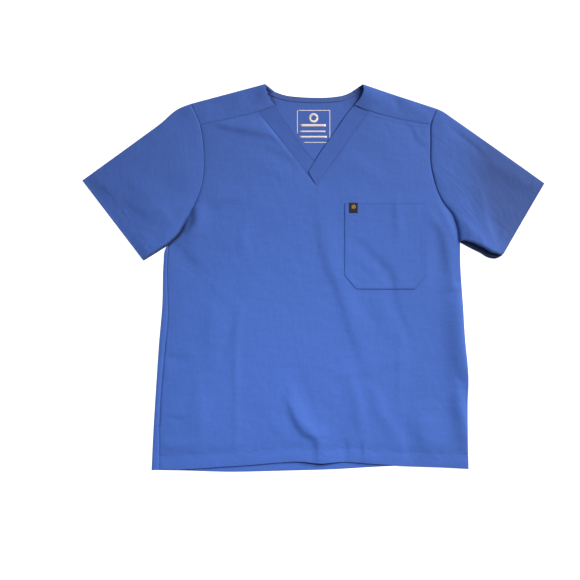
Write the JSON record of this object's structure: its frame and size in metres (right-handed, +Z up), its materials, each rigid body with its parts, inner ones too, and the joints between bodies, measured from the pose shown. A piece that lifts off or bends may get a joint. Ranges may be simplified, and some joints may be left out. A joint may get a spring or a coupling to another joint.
{
  "type": "short-sleeved v-neck scrub top, laid flat",
  "caption": "Short-sleeved V-neck scrub top laid flat on its back, with yokes, lapped neck bands, open sleeves and a chest pocket.",
  "frame": {"origin": "middle of the top's outline, on the surface that it lies on", "axes": "+X across the chest towards the sleeve on the right as seen from above, +Y towards the collar, +Z up from the surface"},
  "size_m": [0.8762, 0.736, 0.0172],
  "materials": {
    "cloth": "plain-weave poly-cotton, royal blue, matt with a slight sheen",
    "tab": "woven tape, charcoal"
  },
  "bodies": {
    "root": {"back": "cloth", "back_neck_facing": "cloth", "chest_pocket": "cloth", "front": "cloth", "neck_band_left": "cloth", "neck_band_right": "cloth", "pocket_tab": "tab", "sleeve_left": "cloth", "sleeve_right": "cloth", "yoke_left": "cloth", "yoke_right": "cloth"}
  },
  "joints": []
}
